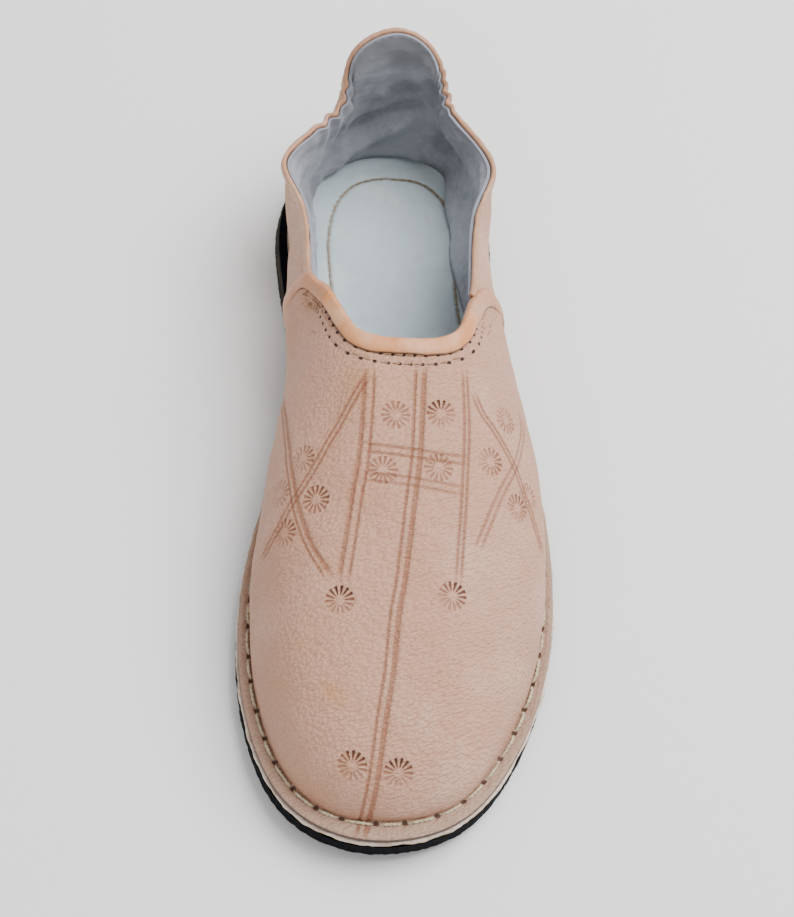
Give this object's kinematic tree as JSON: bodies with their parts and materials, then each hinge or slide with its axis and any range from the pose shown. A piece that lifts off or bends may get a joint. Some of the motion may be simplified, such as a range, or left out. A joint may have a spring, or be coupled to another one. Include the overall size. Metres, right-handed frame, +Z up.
{
  "type": "babouche slipper",
  "caption": "Leather babouche slipper with a stitched-down upper, bound throat and collar, a standing heel tab and a flat rubber sole.",
  "frame": {"origin": "on the floor, in the middle of the slipper's length and width", "axes": "+Z up, +Y towards the heel and -Y towards the toe, -X towards the inner side of the left foot"},
  "size_m": [0.1098, 0.2856, 0.0799],
  "materials": {
    "sole_rubber": "cut, matt",
    "midsole_leather": "raw cut edge",
    "insole_leather": "matt, lightly worn",
    "upper_leather": "vegetable tanned, satin",
    "binding_leather": "smooth, burnished",
    "lining_suede": "suede",
    "thread": "waxed cord"
  },
  "bodies": {
    "root": {"outsole": "sole_rubber", "midsole": "midsole_leather", "insole": "insole_leather", "upper": "upper_leather", "throat_binding": "binding_leather", "collar_binding": "binding_leather"}
  },
  "joints": []
}
